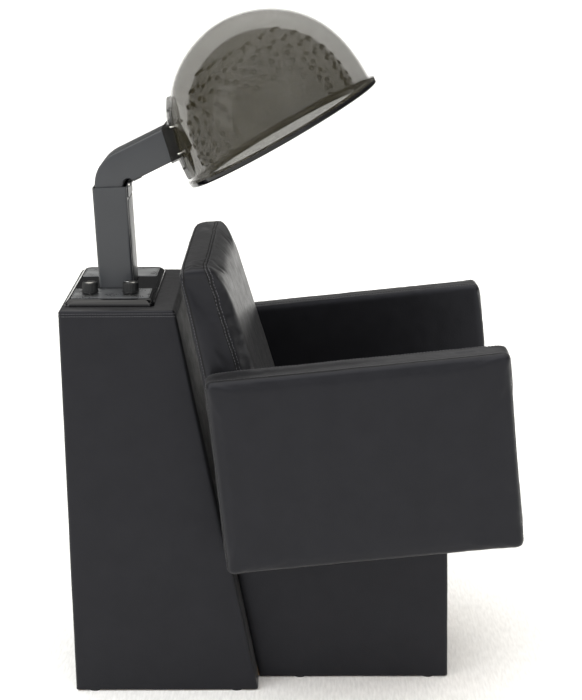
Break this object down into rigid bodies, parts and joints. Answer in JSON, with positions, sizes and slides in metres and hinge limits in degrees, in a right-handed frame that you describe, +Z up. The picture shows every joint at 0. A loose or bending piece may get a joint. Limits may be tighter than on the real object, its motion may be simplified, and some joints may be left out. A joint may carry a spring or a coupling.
{
  "type": "hood hair dryer chair",
  "caption": "Salon hood hair dryer on an upholstered dryer chair, with a padded cabinet, tilting air-duct arm and smoked hood.",
  "frame": {"origin": "centre of the overall box, on the floor", "axes": "+Z up; the sitter faces -Y, so the dryer cabinet is at +Y; the knobs are on the -X side"},
  "size_m": [0.635, 0.885, 1.3364],
  "materials": {
    "vinyl": "satin charcoal-black grained vinyl over foam",
    "plywood": "raw birch plywood, hidden",
    "charcoal_steel": "satin charcoal powder coat",
    "zinc_steel": "zinc-plated sheet steel",
    "bright_steel": "bright plated steel",
    "heater_wire": "mica boards with resistance wire",
    "black_gloss_plastic": "gloss black moulding",
    "black_plastic": "matt black moulding",
    "wire_cover": "black wire insulation",
    "silver_label": "satin silver plate, bare",
    "smoked_clear": "clear smoked acrylic",
    "dark_smoked_clear": "dark smoked acrylic"
  },
  "bodies": {
    "chair": {"cabinet_left_panel": "plywood", "cabinet_right_panel": "plywood", "cabinet_front_panel": "plywood", "cabinet_back_panel": "plywood", "cabinet_top_panel": "plywood", "cabinet_bottom_panel": "plywood", "cabinet_cover": "vinyl", "service_cover": "charcoal_steel", "glides": "black_plastic", "panel_screws": "bright_steel", "blower_shelf": "plywood", "blower_housing": "zinc_steel", "fan_motor": "zinc_steel", "heater_box": "zinc_steel", "heating_element": "heater_wire", "wiring_loom": "wire_cover", "cord_gland": "black_plastic", "post_mount_plate": "zinc_steel", "control_tray": "black_gloss_plastic", "dial_plate": "silver_label", "bare_plate": "silver_label", "timer_body": "black_plastic", "heat_switch": "black_plastic", "post_duct": "charcoal_steel", "hinge_fixed_leaf": "charcoal_steel", "hinge_pin": "bright_steel", "left_arm_core": "plywood", "right_arm_core": "plywood", "left_arm_pad": "vinyl", "right_arm_pad": "vinyl", "seat_rails": "plywood", "seat_base_board": "plywood", "seat_deck": "plywood", "seat_cushion": "vinyl", "seat_apron": "vinyl", "back_board": "plywood", "back_cushion": "vinyl", "back_apron": "vinyl", "chair_bolts": "bright_steel", "plinth_left_panel": "plywood", "plinth_right_panel": "plywood", "plinth_front_panel": "plywood", "plinth_rear_panel": "plywood", "plinth_cover": "vinyl"},
    "hood_arm": {"hinge_moving_leaf": "charcoal_steel", "arm_duct": "charcoal_steel", "hood_saddle": "smoked_clear", "hood_flange": "black_gloss_plastic", "hood_screws": "bright_steel", "outer_dome": "smoked_clear", "inner_bowl": "dark_smoked_clear", "rim_trim": "black_gloss_plastic"},
    "timer_control": {"timer_shaft": "bright_steel", "timer_knob": "black_plastic"},
    "heat_control": {"heat_shaft": "bright_steel", "heat_knob": "black_plastic"},
    "blower_rotor": {"motor_shaft": "bright_steel", "fan_wheel": "zinc_steel"}
  },
  "joints": [
    {"name": "arm_lift", "type": "hinge", "parent": "chair", "child": "hood_arm", "pos_m": [0, 0.31466, 1.00436], "axis": [-1, 0, 0], "range_deg": [0, 45]},
    {"name": "timer_turn", "type": "hinge", "parent": "chair", "child": "timer_control", "pos_m": [-0.095, 0.39108, 0.8], "axis": [0, 0, -1], "range_deg": [0, 300]},
    {"name": "heat_turn", "type": "hinge", "parent": "chair", "child": "heat_control", "pos_m": [-0.095, 0.31208, 0.8], "axis": [0, 0, -1], "range_deg": [0, 270]},
    {"name": "blower_spin", "type": "hinge", "parent": "chair", "child": "blower_rotor", "pos_m": [0, 0.28393, 0.445], "axis": [1, 0, 0], "continuous": true}
  ]
}
